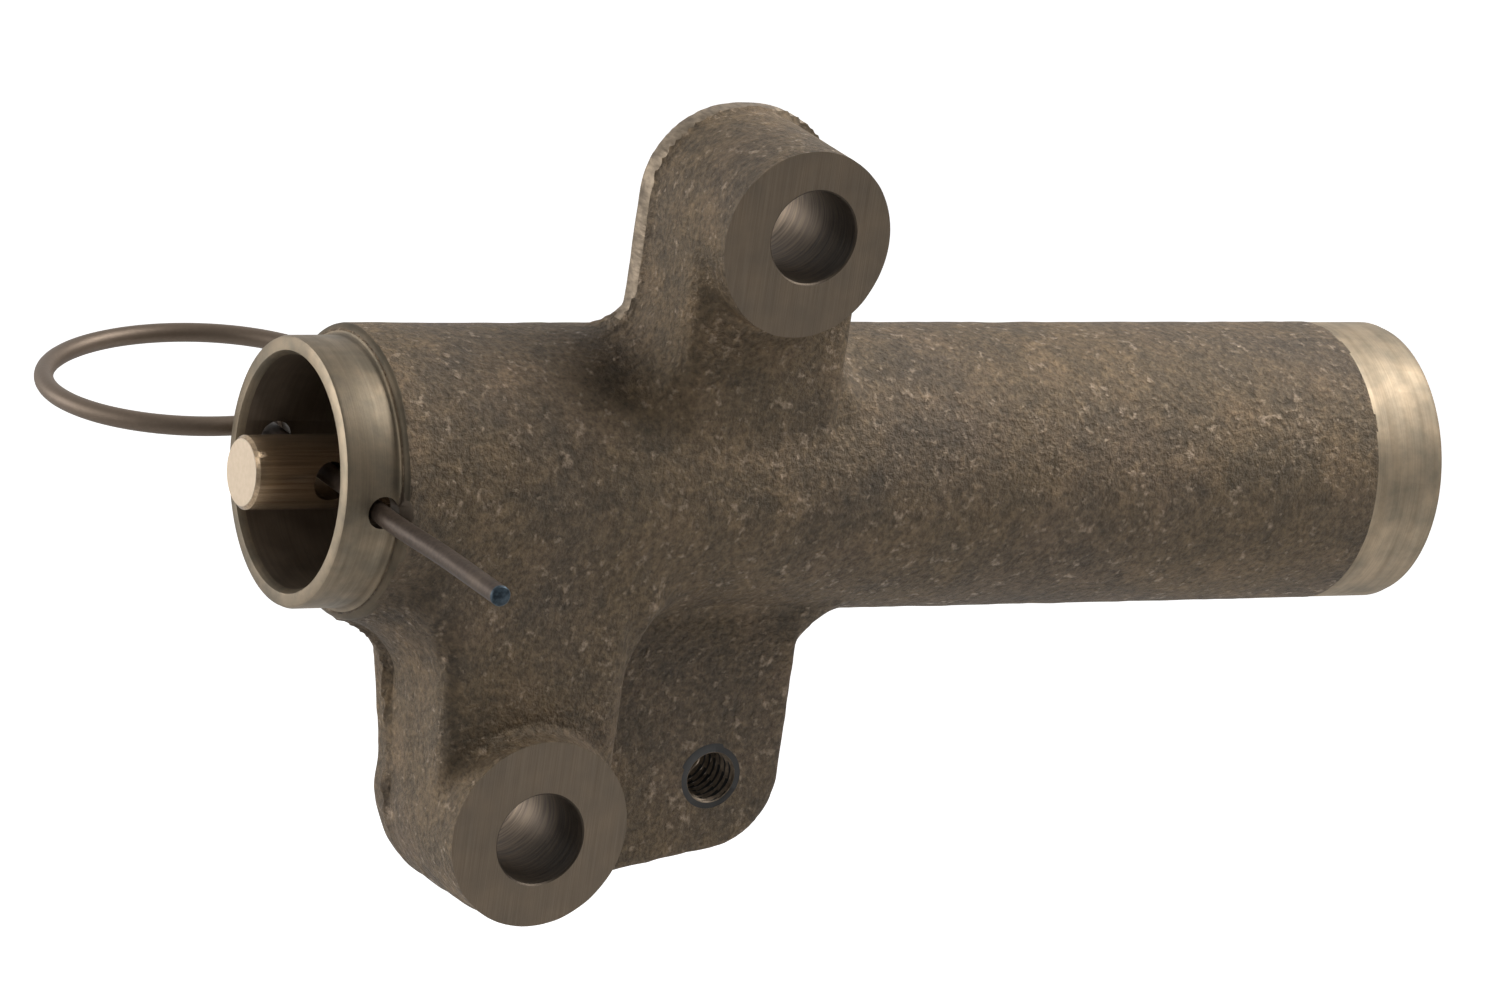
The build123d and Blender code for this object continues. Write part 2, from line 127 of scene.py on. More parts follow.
# Upper ear: back slab, pillar and boss
EAR_CENTRE = (-0.6, 27.0)
EAR_SLAB_R = 9.5
EAR_SLAB_RIGHT = (0.5, 27.0, EAR_SLAB_R)
EAR_SLAB_EDGE_R = 0.5
EAR_SLAB_SWELL = 0.3
EAR_SWELL_Z = 37.5
EAR_SWELL_RISE = 4.0
EAR_BOSS_R = 8.9
EAR_BOSS_SAG = 0.4
EAR_BOSS_SAG_REACH = 9.0
EAR_BOSS_BACK_Y = -2.0
PILLAR_FRONT_Y = -12.5
PILLAR_BACK_Y = -0.4
PILLAR_EDGE_R = 2.0
PILLAR_JOIN_R = 0.35
EAR_ROOT_R = 4.5
EAR_FRONT_ROOT_R = 0.5

# Lower web: arm, plate and boss
ARM = (-20.1, -31.9, 9.5)
ARM_FRONT_Y = -13.0
ARM_BACK_Y = -1.6
ARM_EDGE_R = 1.8
ARM_ROOT_R = 6.5
ARM_ROOT_GAIN = 1.5
ARM_FRONT_ROOT_R = 1.2
PLATE_END = (2.8, -29.4, 7.9)
PLATE_FRONT_Y = -7.0
PLATE_EDGE_R = 0.8
PLATE_ROOT_R = 5.0
PLATE_FRONT_ROOT_R = 0.8
LOWER_BOSS = (-20.25, -31.1)
LOWER_BOSS_R = 9.3
LOWER_BOSS_BACK_Y = -4.0

# Casting: draft, stock for milling, skin, inner corners, mould flash, and the mould's overhang on the arm
DRAFT = sin(radians(1.5))
MILLING_STOCK = 1.2
SKIN = 0.07
BOSS_ROOT_R = 0.8
BOSS_ROOT_FADE = 1.5
PLATE_JOIN_FADE = 3.0
ROOT_BLEND = 3.0
ROOT_FADE_START = 4.0
ROOT_FADE_RISE = 6.0
FLASH = 0.22
FLASH_SPREAD = 0.4
FLASH_BASE = 0.2
OVERHANG = 1.2
OVERHANG_X = -20.0
OVERHANG_Z = -29.0
OVERHANG_RISE = 13.0
BUMP = 0.6
BUMP_Z = -31.3
BUMP_SPREAD = 2.5

# Lock pin, made of one wire
PIN_X = -39.4
PIN_TIP_Y = -37.08
PIN_BOW = 0.45
PIN_BOW_Y = -15.5
PIN_BOW_SPREAD = 7.0
WIRE_R = 0.95
PULL_RING_R = 14.8
PULL_RING_CENTRE = 29.9
PULL_RING_TILT = radians(5.8)
PULL_RING_BEND_R = 2.5
PULL_RING_GAP = radians(7.5)
PULL_RING_STRAY = 0.04

# Rod and the springs that shorten, with their ends along X
ROD_TIP_X = -48.15
RETURN_SPRING_ENDS = (44.37, 72.79)
RETURN_SPRING_R = 4.9
RETURN_WIRE_R = 0.74
RETURN_SPRING_TURNS = 8
BALL_SPRING_ENDS = (46.30, 47.89)
BALL_SPRING_R = 1.0
BALL_WIRE_R = 0.145
BALL_SPRING_TURNS = 3

# Meshing of the casting
GRID_STEP = 0.6
GRID_LOW = (MOUTH_X - 4.0, -19.0, -44.0)
GRID_HIGH = (END_X + 4.0, 16.0, 39.0)
GRID_SLABS = 24
FAR = 24.0

# Corners of a grid cell, and the pairs of them that an edge joins
CORNERS = list(product((0, 1), repeat=3))
EDGES = [(a, b) for a, b in product(range(8), repeat=2)
         if a < b and sum(abs(p - q) for p, q in zip(CORNERS[a], CORNERS[b])) == 1]

# Kinds of face on the housing, in the order of its materials
CAST, MILLED, BAND, DRILLED, DARK_BORE, MOUTH, SHOULDER, FETTLED = range(8)


def lattice_noise(points, size, seed):
    """Smooth noise from -1 to 1 at points in mm, with features about size mm across."""
    n = 32
    table = np.random.RandomState(seed).rand(n, n, n) * 2 - 1
    q = points / size + 500.0
    base = np.floor(q).astype(int)
    t = q - base
    t = t * t * (3 - 2 * t)
    total = 0.0
    for corner in CORNERS:
        weight = 1.0
        index = []
        for axis in range(3):
            weight = weight * (t[..., axis] if corner[axis] else 1 - t[..., axis])
            index.append((base[..., axis] + corner[axis]) % n)
        total = total + weight * table[tuple(index)]
    return total


def union(a, b, r):
    """Union of two fields with an inner corner of radius r."""
    u = np.maximum(r - a, 0)
    v = np.maximum(r - b, 0)
    return np.maximum(r, np.minimum(a, b)) - np.sqrt(u * u + v * v)


def both(a, b, r):
    """Intersection of two fields with an outer corner of radius r."""
    u = np.maximum(r + a, 0)
    v = np.maximum(r + b, 0)
    return np.minimum(-r, np.maximum(a, b)) + np.sqrt(u * u + v * v)


def unit(degrees):
    """Unit vector at an angle from X towards Z."""
    return (cos(radians(degrees)), sin(radians(degrees)))


# Outward normals of the straight sides that join the ear's and the web's circles
RIGHT, UP, LEFT = unit(0), unit(90), unit(180)
ARM_LEFT = unit(186.5)
WEB_BOTTOM = unit(280.2)
WEB_RIGHT = unit(360)


def outline(x, z, circles, normals):
    """Distance to circles joined by tangents, from their outward normals in counterclockwise order."""
    d = np.full(x.shape, -1e9)
    for (cx, cz, r), n0, n1 in zip(circles, normals[:-1], normals[1:]):
        for n in (n0, n1):
            d = np.maximum(d, n[0] * (x - cx) + n[1] * (z - cz) - r)
    for (cx, cz, r), n0, n1 in zip(circles, normals[:-1], normals[1:]):
        qx, qz = x - cx, z - cz
        inside = (n0[0] * qz - n0[1] * qx > 0) & (qx * n1[1] - qz * n1[0] > 0)
        d = np.where(inside, np.hypot(qx, qz) - r, d)
    return d


def root(side, front, flank_r, front_r):
    """Radius of an ear's root: flank_r where the side is nearest, front_r where the front is."""
    share = np.clip(0.5 + (side - front) / ROOT_BLEND, 0, 1)
    return front_r + (flank_r - front_r) * share


def faded(r, margin, reach):
    """Radius r that shrinks to almost nothing as margin falls from reach to 0."""
    return r * np.clip(margin / reach, 0.01, 1)


def mould_flash(p):
    """Ragged ridge round the slabs' edges at the mould's parting."""
    ragged = 0.5 + 0.5 * lattice_noise(p, 2.8, 13)
    return FLASH * ragged * np.exp(-((p[..., 1] - PARTING_Y) / FLASH_SPREAD) ** 2) - FLASH_BASE


def mould_overhang(x, y, z):
    """How far the back half of the mould stands out on the arm's left, with one bump low down."""
    stand_out = OVERHANG * np.clip((z - OVERHANG_Z) / OVERHANG_RISE, 0, 1)
    stand_out = stand_out + BUMP * np.exp(-((z - BUMP_Z) / BUMP_SPREAD) ** 2)
    return stand_out * (x < OVERHANG_X) * np.clip((y - PARTING_Y + 0.5) / 0.5, 0, 1)


def root_fade(z):
    """Share of a root's radius that is left near the cylinder's middle plane."""
    return np.clip((np.abs(z) - ROOT_FADE_START) / ROOT_FADE_RISE, 0.15, 1)


def upper_half(x, y, z, barrel, flash):
    """Field of the cylinder with the slab, the pillar and the boss of the upper bolt."""
    cx, cz = EAR_CENTRE
    slab_side = outline(x, z, [EAR_SLAB_RIGHT, (cx, cz, EAR_SLAB_R)], [RIGHT, UP, LEFT]) - flash
    slab_side = slab_side - EAR_SLAB_SWELL * np.clip((EAR_SWELL_Z - z) / EAR_SWELL_RISE, 0, 1)
    slab = both(slab_side, np.maximum(y - BACK_Y, PARTING_Y - 0.3 - y), EAR_SLAB_EDGE_R)
    lean = (y - FACE_Y) * DRAFT
    pillar_side = outline(x, z, [(cx, cz, EAR_BOSS_R)], [RIGHT, LEFT]) - lean
    pillar = both(pillar_side, np.maximum(PILLAR_FRONT_Y - y, y - PILLAR_BACK_Y), PILLAR_EDGE_R)
    boss_side = np.hypot(x - cx, z - cz) - EAR_BOSS_R - lean
    boss_side = boss_side - EAR_BOSS_SAG * np.clip((cz - z) / EAR_BOSS_SAG_REACH, 0, 1) ** 2
    boss = np.maximum(boss_side, np.maximum(FACE_Y - MILLING_STOCK - y, y - EAR_BOSS_BACK_Y))
    ear = union(slab, pillar, PILLAR_JOIN_R)
    ear = union(ear, boss, faded(BOSS_ROOT_R, boss_side - pillar_side, BOSS_ROOT_FADE))
    ear = np.maximum(ear, -z)
    side = np.minimum(slab_side, pillar_side)
    front = np.maximum(PILLAR_FRONT_Y - y, y - BACK_Y)
    return union(barrel, ear, root(side, front, EAR_ROOT_R * root_fade(z), EAR_FRONT_ROOT_R))


def lower_half(x, y, z, barrel, flash):
    """Field of the cylinder with the arm, the plate and the boss of the lower bolt."""
    overhang = mould_overhang(x, y, z)
    arm_side = outline(x, z, [ARM], [ARM_LEFT, WEB_RIGHT])
    arm_side = arm_side - flash - overhang + np.maximum(PARTING_Y - y, 0) * DRAFT
    arm = both(arm_side, np.maximum(ARM_FRONT_Y - y, y - ARM_BACK_Y), ARM_EDGE_R)
    arm = np.maximum(arm, z)
    plate_side = outline(x, z, [ARM, PLATE_END], [ARM_LEFT, WEB_BOTTOM, WEB_RIGHT])
    plate_side = plate_side - flash - overhang
    plate = both(plate_side, np.maximum(PLATE_FRONT_Y - y, y - BACK_Y), PLATE_EDGE_R)
    plate = np.maximum(plate, z)
    boss_side = np.hypot(x - LOWER_BOSS[0], z - LOWER_BOSS[1]) - LOWER_BOSS_R - (y - FACE_Y) * DRAFT
    boss = np.maximum(boss_side, np.maximum(FACE_Y - MILLING_STOCK - y, y - LOWER_BOSS_BACK_Y))
    web = union(arm, plate, faded(BOSS_ROOT_R, arm_side - plate_side - 0.3, PLATE_JOIN_FADE))
    web = union(web, boss, faded(BOSS_ROOT_R, boss_side - arm_side, BOSS_ROOT_FADE))

    right_share = np.clip((x + 20) / 6, 0, 1)
    flank_r = (ARM_ROOT_R + ARM_ROOT_GAIN * right_share) * root_fade(z)
    arm_front = np.maximum(ARM_FRONT_Y - y, y - BACK_Y)
    arm_root = root(arm_side, arm_front, flank_r, ARM_FRONT_ROOT_R)
    plate_front = np.maximum(PLATE_FRONT_Y - y, y - BACK_Y)
    plate_root = root(plate_side, plate_front, PLATE_ROOT_R, PLATE_FRONT_ROOT_R)
    lower = np.minimum(union(barrel, arm, arm_root), union(barrel, plate, plate_root))
    return np.minimum(lower, web)


def casting_field(p):
    """Distance field of the raw casting, in mm, with the slight waves of its sand mould."""
    x, y, z = p[..., 0], p[..., 1], p[..., 2]
    waves = 0.6 * lattice_noise(p, 3.4, 11) + 0.4 * lattice_noise(p, 1.3, 12)
    ends = np.abs(x - (MOUTH_X + END_X) / 2) - (END_X - MOUTH_X) / 2 - 2
    barrel = np.maximum(np.hypot(y, z) - BODY_R, ends)
    flash = mould_flash(p)
    halves = np.where(z > 0, upper_half(x, y, z, barrel, flash), lower_half(x, y, z, barrel, flash))
    return halves + SKIN * (1 + waves)


def crossing_points(field, cells):
    """Mean of the places where the surface crosses each cell's edges, counted in cells."""
    values = np.stack([field[cells[:, 0] + i, cells[:, 1] + j, cells[:, 2] + k] for i, j, k in CORNERS], 1)
    total = np.zeros((len(cells), 3))
    number = np.zeros(len(cells))
    for a, b in EDGES:
        start, end = np.array(CORNERS[a]), np.array(CORNERS[b])
        va, vb = values[:, a], values[:, b]
        crossed = (va < 0) != (vb < 0)
        t = np.where(crossed, va / np.where(crossed, va - vb, 1), 0)
        total += np.where(crossed[:, None], start + t[:, None] * (end - start), 0)
        number += crossed
    return cells + total / number[:, None]


def crossing_quads(inside, index):
    """Quads round the grid edges that cross the surface, from the number of each cell's point."""
    quads = []
    for axis in range(3):
        first = [slice(1, -1)] * 3
        second = list(first)
        first[axis], second[axis] = slice(0, -1), slice(1, None)
        a, b = inside[tuple(first)], inside[tuple(second)]
        offset = np.ones(3, int)
        offset[axis] = 0
        u, v = [n for n in range(3) if n != axis]
        if axis == 1:
            u, v = v, u
        for flip in (False, True):
            spots = np.argwhere((b & ~a) if flip else (a & ~b)) + offset
            ring = []
            for du, dv in ((-1, -1), (0, -1), (0, 0), (-1, 0)):
                cell = spots.copy()
                cell[:, u] += du
                cell[:, v] += dv
                ring.append(index[cell[:, 0], cell[:, 1], cell[:, 2]])
            ring = np.stack(ring, 1)
            quads.append(ring[:, ::-1] if flip else ring)
    return np.concatenate(quads)


def surface_net(field, low, step):
    """Points and quads of a sampled field's zero level, one point in each cell that it crosses."""
    inside = field < 0
    nx, ny, nz = field.shape
    count = sum(inside[i:nx - 1 + i, j:ny - 1 + j, k:nz - 1 + k].astype(np.int8) for i, j, k in CORNERS)
    active = (count > 0) & (count < 8)
    cells = np.argwhere(active)
    index = np.full(active.shape, -1)
    index[active] = np.arange(len(cells))
    return low + step * crossing_points(field, cells), crossing_quads(inside, index)


def settle(points, field, rounds=3):
    """Points moved along the field's slope onto its zero level, a limited way in each round."""
    reach, flattest, longest = 0.05, 0.2, 0.3
    for _ in range(rounds):
        value = field(points)
        slope = np.empty_like(points)
        for axis in range(3):
            step = np.zeros(3)
            step[axis] = reach
            slope[:, axis] = (field(points + step) - field(points - step)) / (2 * reach)
        length = np.maximum((slope ** 2).sum(1), flattest)
        points = points - slope * (np.clip(value, -longest, longest) / length)[:, None]
    return points


def to_row(points):
    """Points in mm on the cylinder's axis as metres in the row frame."""
    return (np.asarray(points, float) + AXIS_IN_ROW) * MM


def new_object(name, points, faces, smooth=True):
    """Object from points in mm on the cylinder's axis."""
    mesh = bpy.data.meshes.new(name)
    mesh.from_pydata(to_row(points).tolist(), [], [list(map(int, f)) for f in faces])
    mesh.validate()
    obj = bpy.data.objects.new(name, mesh)
    scene.collection.objects.link(obj)
    if smooth:
        mesh.shade_smooth()
    return obj


def face_outwards(obj, merge=False):
    """Turns all faces outwards, after merging points on one spot where asked."""
    bm = bmesh.new()
    bm.from_mesh(obj.data)
    if merge:
        bmesh.ops.remove_doubles(bm, verts=bm.verts, dist=1e-7)
        bmesh.ops.dissolve_degenerate(bm, edges=bm.edges, dist=1e-7)
    bmesh.ops.recalc_face_normals(bm, faces=bm.faces)
    bm.to_mesh(obj.data)
    bm.free()


def lathe(name, profile, along="X", centre=(0.0, 0.0), segments=160):
    """Turned solid from (station, radius) points, about X or Y; its profile may touch the axis."""
    points, faces = [], []
    count = len(profile)
    for s in range(segments):
        a = 2 * pi * s / segments
        for station, r in profile:
            if along == "X":
                points.append((station, centre[0] + r * cos(a), centre[1] + r * sin(a)))
            else:
                points.append((centre[0] + r * sin(a), station, centre[1] + r * cos(a)))
    for s in range(segments):
        for i in range(count):
            a, b = s * count + i, s * count + (i + 1) % count
            c, d = (s + 1) % segments * count + i, (s + 1) % segments * count + (i + 1) % count
            faces.append((a, b, d, c))
    obj = new_object(name, points, faces, smooth=False)
    face_outwards(obj, merge=True)
    return obj


def cut(obj, cutters):
    """Cuts the cutters out of obj and deletes them."""
    group = bpy.data.collections.new("cutters")
    for cutter in cutters:
        group.objects.link(cutter)
    tool = obj.modifiers.new("cut", "BOOLEAN")
    tool.operation = "DIFFERENCE"
    tool.operand_type = "COLLECTION"
    tool.collection = group
    tool.solver = "EXACT"
    bpy.context.view_layer.update()
    result = bpy.data.meshes.new_from_object(obj.evaluated_get(bpy.context.evaluated_depsgraph_get()))
    obj.modifiers.clear()
    obj.data = result
    for cutter in cutters:
        bpy.data.objects.remove(cutter)
    bpy.data.collections.remove(group)


class Look:
    """Procedural material in the making. Its textures are placed in mm on the object."""

    def __init__(self, name):
        self.material = bpy.data.materials.new(name)
        self.material.use_nodes = True
        self.tree = self.material.node_tree
        self.shader = self.tree.nodes["Principled BSDF"]
        self.normal = None
        place = self.node("TexCoord")
        scale = self.node("Mapping")
        scale.inputs["Scale"].default_value = [1 / MM] * 3
        self.feed(scale.inputs["Vector"], place.outputs["Object"])
        self.where = scale.outputs["Vector"]

    def node(self, kind):
        """New shader node of a kind."""
        return self.tree.nodes.new("ShaderNode" + kind)

    def feed(self, socket, value):
        """Gives a socket another node's output, a number or a colour."""
        if isinstance(value, bpy.types.NodeSocket):
            self.tree.links.new(value, socket)
        elif isinstance(value, tuple):
            socket.default_value = (*value, 1)
        else:
            socket.default_value = value

    def noise(self, size, detail=2, stretch=(1, 1, 1), rough=0.5):
        """Noise with features about size mm, drawn out along an axis by a stretch over 1."""
        fit = self.node("Mapping")
        fit.inputs["Scale"].default_value = [1 / (size * s) for s in stretch]
        self.feed(fit.inputs["Vector"], self.where)
        texture = self.node("TexNoise")
        texture.inputs["Scale"].default_value = 1.0
        texture.inputs["Detail"].default_value = detail
        texture.inputs["Roughness"].default_value = rough
        self.feed(texture.inputs["Vector"], fit.outputs["Vector"])
        return texture.outputs["Fac"]

    def place(self, axis):
        """Place along an axis, in mm in the row frame."""
        parts = self.node("SeparateXYZ")
        self.feed(parts.inputs[0], self.where)
        return parts.outputs[axis]

    def ramp(self, value, *stops):
        """Colour ramp through (place, colour) stops."""
        node = self.node("ValToRGB")
        elements = node.color_ramp.elements
        while len(elements) < len(stops):
            elements.new(0.5)
        for element, (place, color) in zip(elements, stops):
            element.position = place
            element.color = (*color, 1)
        self.feed(node.inputs["Fac"], value)
        return node.outputs["Color"]

    def mix(self, share, a, b, mode="MIX"):
        """Mix of two colours by a share of the second."""
        node = self.node("Mix")
        node.data_type = "RGBA"
        node.blend_type = mode
        for socket, value in ((node.inputs[0], share), (node.inputs[6], a), (node.inputs[7], b)):
            self.feed(socket, value)
        return node.outputs[2]

    def tone(self, color, value, *stops):
        """Colour multiplied by a ramp."""
        return self.mix(1.0, color, self.ramp(value, *stops), "MULTIPLY")

    def calc(self, kind, a, b):
        """Arithmetic on two values, by the name of its kind."""
        node = self.node("Math")
        node.operation = kind
        self.feed(node.inputs[0], a)
        self.feed(node.inputs[1], b)
        return node.outputs[0]

    def spread(self, value, low, high):
        """Value from 0 to 1 stretched to run from low to high."""
        node = self.node("MapRange")
        self.feed(node.inputs["Value"], value)
        node.inputs["To Min"].default_value = low
        node.inputs["To Max"].default_value = high
        return node.outputs["Result"]

    def bump(self, height, distance, strength):
        """Bump of height from 0 to 1 that stands distance mm high, on top of earlier bumps."""
        node = self.node("Bump")
        node.inputs["Strength"].default_value = strength
        node.inputs["Distance"].default_value = distance * MM
        self.feed(node.inputs["Height"], height)
        if self.normal is not None:
            self.feed(node.inputs["Normal"], self.normal)
        self.normal = node.outputs["Normal"]

    def finish(self, color, metallic, roughness):
        """The finished material."""
        self.feed(self.shader.inputs["Base Color"], color)
        self.shader.inputs["Metallic"].default_value = metallic
        self.feed(self.shader.inputs["Roughness"], roughness)
        self.feed(self.shader.inputs["Normal"], self.normal)
        return self.material


def cast_material():
    """Sand-cast iron: olive and tan patches, a soft low grain and crowds of pale facets."""
    look = Look("cast_iron")
    patch = look.noise(5.5, detail=4, rough=0.6)
    mottle = look.noise(1.5, detail=3, rough=0.6)
    grain = look.noise(0.60, detail=4, rough=0.66)
    color = look.ramp(patch, (0.36, (0.104, 0.079, 0.053)), (0.52, (0.128, 0.094, 0.060)),
                      (0.68, (0.156, 0.112, 0.071)))
    color = look.tone(color, look.noise(16.0), (0.40, (0.95, 0.96, 1.00)), (0.60, (1.09, 1.07, 1.01)))
    color = look.tone(color, grain, (0.30, (0.58, 0.58, 0.58)), (0.50, (0.95, 0.95, 0.95)),
                      (0.70, (1.42, 1.39, 1.33)))
    color = look.tone(color, mottle, (0.35, (0.86, 0.86, 0.87)), (0.65, (1.14, 1.12, 1.09)))
    crowd = look.calc("MULTIPLY", look.noise(2.6), 0.5)
    speck = look.calc("SUBTRACT", look.calc("ADD", look.noise(0.80, detail=3), crowd), 0.86)
    speck = look.calc("MULTIPLY", speck, 5.0)
    speck = look.calc("MINIMUM", look.calc("MAXIMUM", speck, 0.0), 1.0)
    color = look.mix(look.calc("MULTIPLY", speck, 0.50), color, (0.46, 0.345, 0.240))
    roughness = look.calc("SUBTRACT", look.spread(grain, 0.74, 0.56), look.calc("MULTIPLY", speck, 0.32))
    look.bump(look.noise(1.3), 0.30, 0.8)
    look.bump(grain, 0.34, 1.0)
    look.bump(speck, 0.08, 0.9)
    return look.finish(color, 0.45, roughness)


def fettled_material():
    """Cast iron whose mould flash was ground off: paler and streaky."""
    look = Look("fettled_iron")
    scrape = look.noise(0.5, detail=3, stretch=(1, 3, 1))
    patch = look.noise(1.8, detail=3)
    color = look.ramp(scrape, (0.3, (0.150, 0.114, 0.078)), (0.7, (0.330, 0.262, 0.188)))
    color = look.tone(color, patch, (0.35, (0.75, 0.74, 0.72)), (0.65, (1.15, 1.15, 1.15)))
    look.bump(scrape, 0.12, 0.9)
    return look.finish(color, 0.6, look.spread(scrape, 0.45, 0.62))


def milled_material():
    """Face-milled iron: dull tan grey with very fine straight tool lines."""
    look = Look("milled_iron")
    lines = look.noise(0.10, stretch=(1, 1, 80))
    wide = look.noise(0.5, stretch=(1, 1, 30))
    cloud = look.noise(3.0, detail=3)
    color = look.ramp(lines, (0.3, (0.140, 0.107, 0.076)), (0.7, (0.212, 0.166, 0.120)))
    wide_color = look.ramp(wide, (0.3, (0.152, 0.117, 0.084)), (0.7, (0.198, 0.155, 0.112)))
    color = look.mix(0.3, color, wide_color)
    color = look.tone(color, cloud, (0.3, (0.90, 0.92, 0.94)), (0.7, (1.10, 1.08, 1.05)))
    look.bump(lines, 0.012, 0.5)
    return look.finish(color, 0.75, look.spread(wide, 0.46, 0.56))


def turned_material(name, painted_shade, roughness):
    """Turned iron: fine lines round the cylinder and uneven patches, darkened by a factor under 1; the
    darker copies are painted shade.
    """
    look = Look(name)
    lines = look.noise(0.12, stretch=(1, 90, 90))
    wide = look.noise(0.8, detail=3, stretch=(1, 14, 14))
    cloud = look.noise(3.2, detail=4, rough=0.6)
    color = look.ramp(wide, (0.3, (0.290, 0.228, 0.158)), (0.7, (0.385, 0.310, 0.222)))
    line_color = look.ramp(lines, (0.3, (0.25, 0.195, 0.14)), (0.7, (0.43, 0.35, 0.25)))
    color = look.mix(0.25, color, line_color)
    color = look.tone(color, cloud, (0.35, (0.76 * painted_shade, 0.79 * painted_shade, 0.80 * painted_shade)),
                      (0.65, (1.14 * painted_shade, 1.12 * painted_shade, 1.08 * painted_shade)))
    uneven = look.calc("MULTIPLY", look.calc("ADD", wide, cloud), 0.5)
    look.bump(cloud, 0.10, 0.4)
    look.bump(lines, 0.012, 0.5)
    return look.finish(color, 0.85, look.spread(uneven, roughness[1] + 0.06, roughness[0] - 0.06))


def drilled_material():
    """Drilled iron: brown, with tool marks round the hole, darker towards the milled face and brighter
    deeper in: painted shade near the front and painted light where light comes in from the back.
    """
    look = Look("bored_iron")
    rings = look.noise(0.35, stretch=(12, 1, 12))
    color = look.ramp(rings, (0.3, (0.070, 0.052, 0.037)), (0.7, (0.21, 0.160, 0.113)))
    # Painted shade near the milled face and painted light deeper in, from the depth along Y
    depth = look.calc("DIVIDE", look.place("Y"), BACK_Y - FACE_Y)
    color = look.tone(color, depth, (0.1, (0.5, 0.5, 0.5)), (0.95, (1.7, 1.7, 1.7)))
    look.bump(rings, 0.05, 0.6)
    return look.finish(color, 0.7, look.spread(rings, 0.42, 0.60))


def thread_material():
    """Tapped iron: brown, a little brighter than the drilled holes."""
    look = Look("tapped_iron")
    fine = look.noise(0.4, detail=3)
    color = look.ramp(fine, (0.3, (0.125, 0.096, 0.068)), (0.7, (0.24, 0.185, 0.132)))
    look.bump(fine, 0.02, 0.5)
    return look.finish(color, 0.6, look.spread(fine, 0.38, 0.55))


def dark_bore_material():
    """Inside of the mouth: dark, oiled and finely turned."""
    look = Look("mouth_bore")
    rings = look.noise(0.3, stretch=(1, 40, 40))
    film = look.noise(4.0, detail=3)
    color = look.ramp(rings, (0.3, (0.125, 0.094, 0.066)), (0.7, (0.155, 0.117, 0.083)))
    color = look.tone(color, film, (0.35, (0.70, 0.70, 0.70)), (0.65, (1.05, 1.05, 1.05)))
    look.bump(rings, 0.012, 0.4)
    return look.finish(color, 0.6, look.spread(film, 0.34, 0.48))


def steel_material(name, low, high):
    """Ground steel between two colours, with fine lines."""
    look = Look(name)
    lines = look.noise(0.2, stretch=(1, 30, 30))
    look.bump(lines, 0.01, 0.4)
    return look.finish(look.ramp(lines, (0.3, low), (0.7, high)), 0.9, look.spread(lines, 0.28, 0.4))


def black_material(name):
    """Black with a faint bloom: moulded rubber, and the painted shade in a thread's valleys."""
    look = Look(name)
    bloom = look.noise(1.5, detail=4)
    color = look.ramp(bloom, (0.3, (0.012, 0.011, 0.010)), (0.7, (0.030, 0.028, 0.026)))
    look.bump(look.noise(0.2), 0.01, 0.5)
    return look.finish(color, 0.0, look.spread(bloom, 0.5, 0.75))


def wire_material():
    """Dull drawn wire: brown with paler runs, a paler pull ring as painted light from above, and blue where
    it was cut hot.
    """
    look = Look("pin_wire")
    patch = look.noise(4, detail=4)
    fine = look.noise(0.4, detail=3)
    y = look.place("Y")
    color = look.ramp(patch, (0.35, (0.047, 0.031, 0.022)), (0.6, (0.068, 0.047, 0.034)),
                      (0.8, (0.11, 0.079, 0.057)))
    fine_color = look.ramp(fine, (0.3, (0.032, 0.022, 0.015)), (0.7, (0.11, 0.079, 0.057)))
    color = look.mix(0.35, color, fine_color)
    # The pull ring's paler colour is painted light from above
    painted_light_ring = look.calc("GREATER_THAN", y, AXIS_IN_ROW[1] + BODY_R)
    color = look.mix(look.calc("MULTIPLY", painted_light_ring, 0.45), color, (0.27, 0.205, 0.15))
    end = PIN_TIP_Y + AXIS_IN_ROW[1]
    cut_end = look.calc("LESS_THAN", y, end + 0.08)
    ragged_end = look.calc("LESS_THAN", look.calc("ADD", y, patch), end + 0.9)
    blue = look.ramp(fine, (0.35, (0.016, 0.026, 0.036)), (0.65, (0.050, 0.075, 0.095)))
    color = look.mix(look.calc("MAXIMUM", cut_end, ragged_end), color, blue)
    look.bump(fine, 0.03, 0.6)
    return look.finish(color, 0.6, look.spread(patch, 0.42, 0.58))


def rod_material():
    """Ground rod: pale flat end, and brown oiled sides with long streaks."""
    look = Look("rod_steel")
    streak = look.noise(0.22, detail=3, stretch=(60, 1, 1))
    fine = look.noise(0.5, detail=3)
    side = look.ramp(streak, (0.3, (0.34, 0.245, 0.156)), (0.7, (0.56, 0.418, 0.278)))
    end = look.ramp(fine, (0.3, (0.48, 0.388, 0.290)), (0.7, (0.53, 0.433, 0.327)))
    front = look.calc("LESS_THAN", look.place("X"), ROD_TIP_X + 0.04)
    roughness = look.calc("ADD", look.spread(streak, 0.20, 0.30), look.calc("MULTIPLY", front, 0.2))
    look.bump(streak, 0.012, 0.5)
    return look.finish(look.mix(front, side, end), 0.9, roughness)


